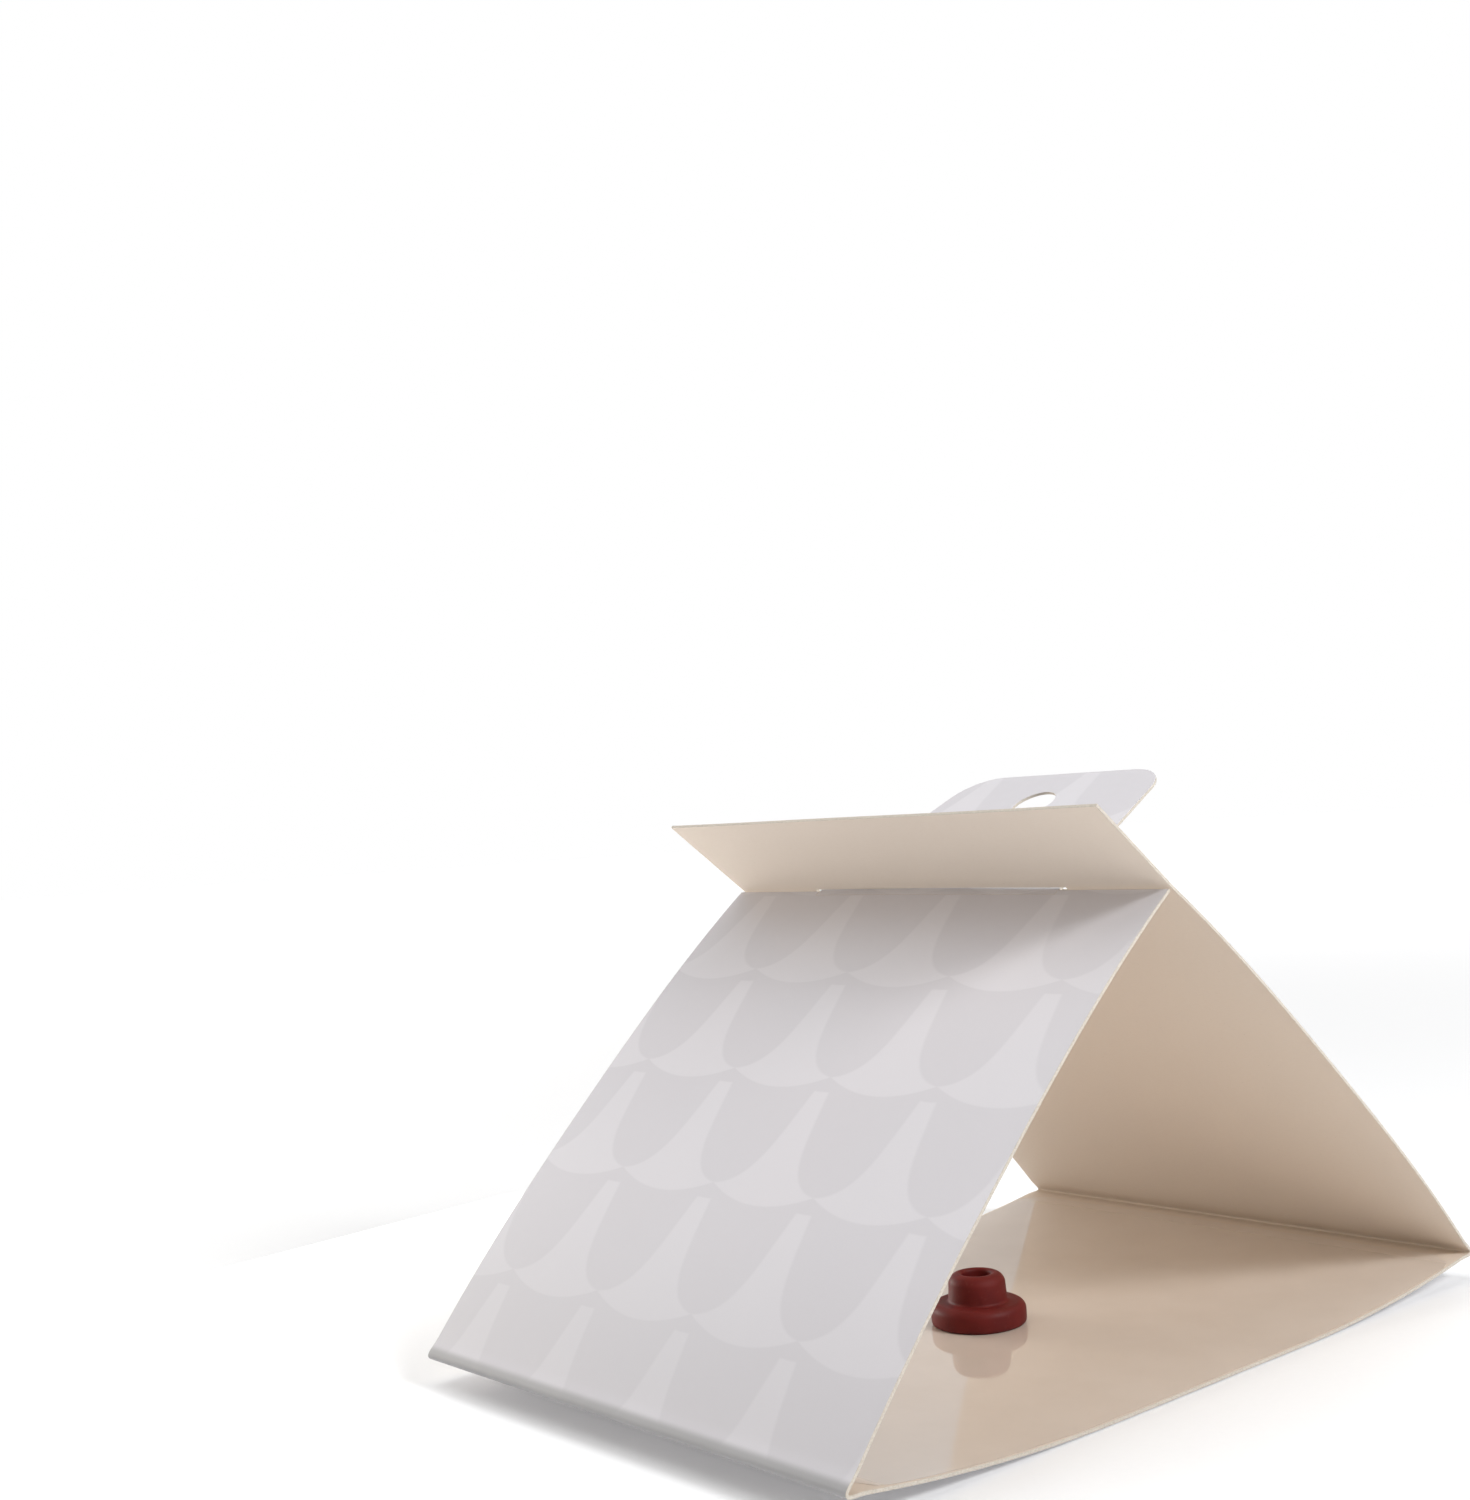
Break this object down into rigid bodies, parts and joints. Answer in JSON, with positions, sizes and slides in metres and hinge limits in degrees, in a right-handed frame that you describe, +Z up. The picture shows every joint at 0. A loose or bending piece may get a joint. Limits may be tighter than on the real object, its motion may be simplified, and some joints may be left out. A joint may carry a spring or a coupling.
{
  "type": "pheromone insect trap",
  "caption": "Triangular folded paperboard tent trap, open at both ends, with a sticky base, a hat-shaped rubber lure, a locking flap and a punched hang tab through the ridge slit.",
  "frame": {"origin": "middle of the trap's footprint (its bounding box in X and Y), on the surface that the base stands on", "axes": "+Y along the ridge from the front opening to the rear one, +Z up, +X towards the panel that carries the locking flap; the front opening faces -Y"},
  "size_m": [0.1468, 0.095, 0.0891],
  "materials": {
    "plain_board": "matt, uncoated cream side of the card",
    "printed_board": "satin, pale lilac grey with a tone-on-tone scale print",
    "folded_board": "matt, scored and rolled card",
    "tacky_glue": "clear, wet-looking permanent adhesive",
    "red_rubber": "matt moulded dark red rubber"
  },
  "bodies": {
    "base": {"base_panel": "plain_board", "base_glue_coat": "tacky_glue", "left_base_crease": "folded_board", "right_base_crease": "folded_board"},
    "left_side": {"left_panel": "printed_board", "hang_tab_crease": "folded_board"},
    "right_side": {"right_panel": "plain_board", "ridge_crease_front": "folded_board", "ridge_crease_rear": "folded_board"},
    "flap": {"locking_flap": "plain_board"},
    "tab": {"hang_tab": "printed_board"},
    "lure": {"pheromone_lure": "red_rubber"}
  },
  "joints": [
    {"name": "right_fold", "type": "hinge", "parent": "base", "child": "right_side", "pos_m": [0.0726, 0, 0.00425], "axis": [0, 1, 0], "range_deg": [0, 137]},
    {"name": "left_fold", "type": "hinge", "parent": "base", "child": "left_side", "pos_m": [-0.0726, 0, 0.00425], "axis": [0, -1, 0], "range_deg": [0, 56]},
    {"name": "hang_tab_fold", "type": "hinge", "parent": "left_side", "child": "tab", "pos_m": [-0.00247, 0, 0.07106], "axis": [0, 1, 0], "range_deg": [0, 111]},
    {"name": "locking_flap_fold", "type": "hinge", "parent": "right_side", "child": "flap", "pos_m": [-0.0013, 0, 0.07162], "axis": [0, -1, 0], "range_deg": [-60, 25], "stiffness_Nm_per_rad": 0.005},
    {"name": "lure_pull", "type": "slide", "parent": "base", "child": "lure", "axis": [0, -0.9397, 0.342], "range_m": [0, 0.06]}
  ],
  "couplings": [
    {"joint": "left_fold", "follows": "right_fold", "ratio": 0.4},
    {"joint": "hang_tab_fold", "follows": "right_fold", "ratio": 0.79}
  ]
}
